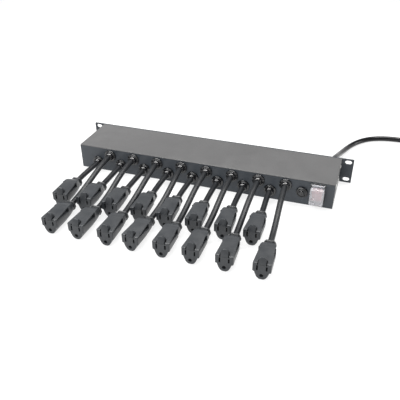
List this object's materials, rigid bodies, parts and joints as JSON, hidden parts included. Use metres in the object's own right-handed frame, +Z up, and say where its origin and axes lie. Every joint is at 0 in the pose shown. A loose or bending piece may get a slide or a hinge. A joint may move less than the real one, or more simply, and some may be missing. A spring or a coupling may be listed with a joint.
{
  "type": "rack power strip",
  "caption": "Rack-mounted power strip with two staggered rows of short corded outlets, a guarded rocker switch, a reset breaker, and a coiled mains lead with plug.",
  "frame": {"origin": "centre of the underside of the chassis floor", "axes": "+X along the strip, +Y towards the rack panel and its ears, +Z up; the outlet cords leave the -Y side"},
  "size_m": [0.7246, 0.4943, 0.0437],
  "materials": {
    "grey_paint": "fine textured powder coat, satin",
    "moulded_vinyl": "moulded vinyl, slightly matte",
    "cord_jacket": "extruded vinyl, satin",
    "black_nylon": "glossy moulded nylon",
    "lit_red_plastic": "translucent lit lens",
    "clear_plastic": "clear moulded cover",
    "copper": "bare bus metal",
    "phenolic": "insulating board",
    "wire_insulation": "insulated wire"
  },
  "bodies": {
    "strip": {"long_connector_1": "moulded_vinyl", "long_connector_2": "moulded_vinyl", "long_connector_3": "moulded_vinyl", "long_connector_4": "moulded_vinyl", "long_connector_5": "moulded_vinyl", "long_connector_6": "moulded_vinyl", "long_connector_7": "moulded_vinyl", "long_connector_8": "moulded_vinyl", "short_connector_1": "moulded_vinyl", "short_connector_2": "moulded_vinyl", "short_connector_3": "moulded_vinyl", "short_connector_4": "moulded_vinyl", "short_connector_5": "moulded_vinyl", "short_connector_6": "moulded_vinyl", "short_connector_7": "moulded_vinyl", "short_connector_8": "moulded_vinyl", "long_cord_1": "cord_jacket", "long_cord_2": "cord_jacket", "long_cord_3": "cord_jacket", "long_cord_4": "cord_jacket", "long_cord_5": "cord_jacket", "long_cord_6": "cord_jacket", "long_cord_7": "cord_jacket", "long_cord_8": "cord_jacket", "short_cord_1": "cord_jacket", "short_cord_2": "cord_jacket", "short_cord_3": "cord_jacket", "short_cord_4": "cord_jacket", "short_cord_5": "cord_jacket", "short_cord_6": "cord_jacket", "short_cord_7": "cord_jacket", "short_cord_8": "cord_jacket", "mains_cord": "cord_jacket", "mains_coil": "cord_jacket", "mains_cord_tail": "cord_jacket", "mains_plug": "moulded_vinyl", "chassis_tray": "grey_paint", "top_cover": "grey_paint", "rack_panel": "grey_paint", "outlet_panel": "grey_paint", "switch_body": "black_nylon", "breaker_body": "black_nylon", "breaker_nut": "black_nylon", "mains_gland": "black_nylon", "live_bus_bar": "copper", "neutral_bus_bar": "copper", "ground_bus_bar": "copper", "ground_stud": "copper", "bus_insulator": "phenolic", "feed_wire_line": "wire_insulation", "feed_wire_neutral": "wire_insulation", "feed_wire_ground": "wire_insulation", "jumper_wire_breaker": "wire_insulation", "jumper_wire_live": "wire_insulation", "jumper_wire_ground": "wire_insulation"},
    "rocker": {"switch_rocker": "lit_red_plastic"},
    "guard": {"switch_guard": "clear_plastic"},
    "reset": {"breaker_button": "black_nylon"}
  },
  "joints": [
    {"name": "rocker_pivot", "type": "hinge", "parent": "strip", "child": "rocker", "pos_m": [0.1958, -0.0455, 0.023], "axis": [1, 0, 0], "range_deg": [0, 18]},
    {"name": "guard_hinge", "type": "hinge", "parent": "strip", "child": "guard", "pos_m": [0.1958, -0.0504, 0.0392], "axis": [-1, 0, 0], "range_deg": [0, 100]},
    {"name": "breaker_reset", "type": "slide", "parent": "strip", "child": "reset", "axis": [0, -1, 0], "range_m": [0, 0.004]}
  ]
}
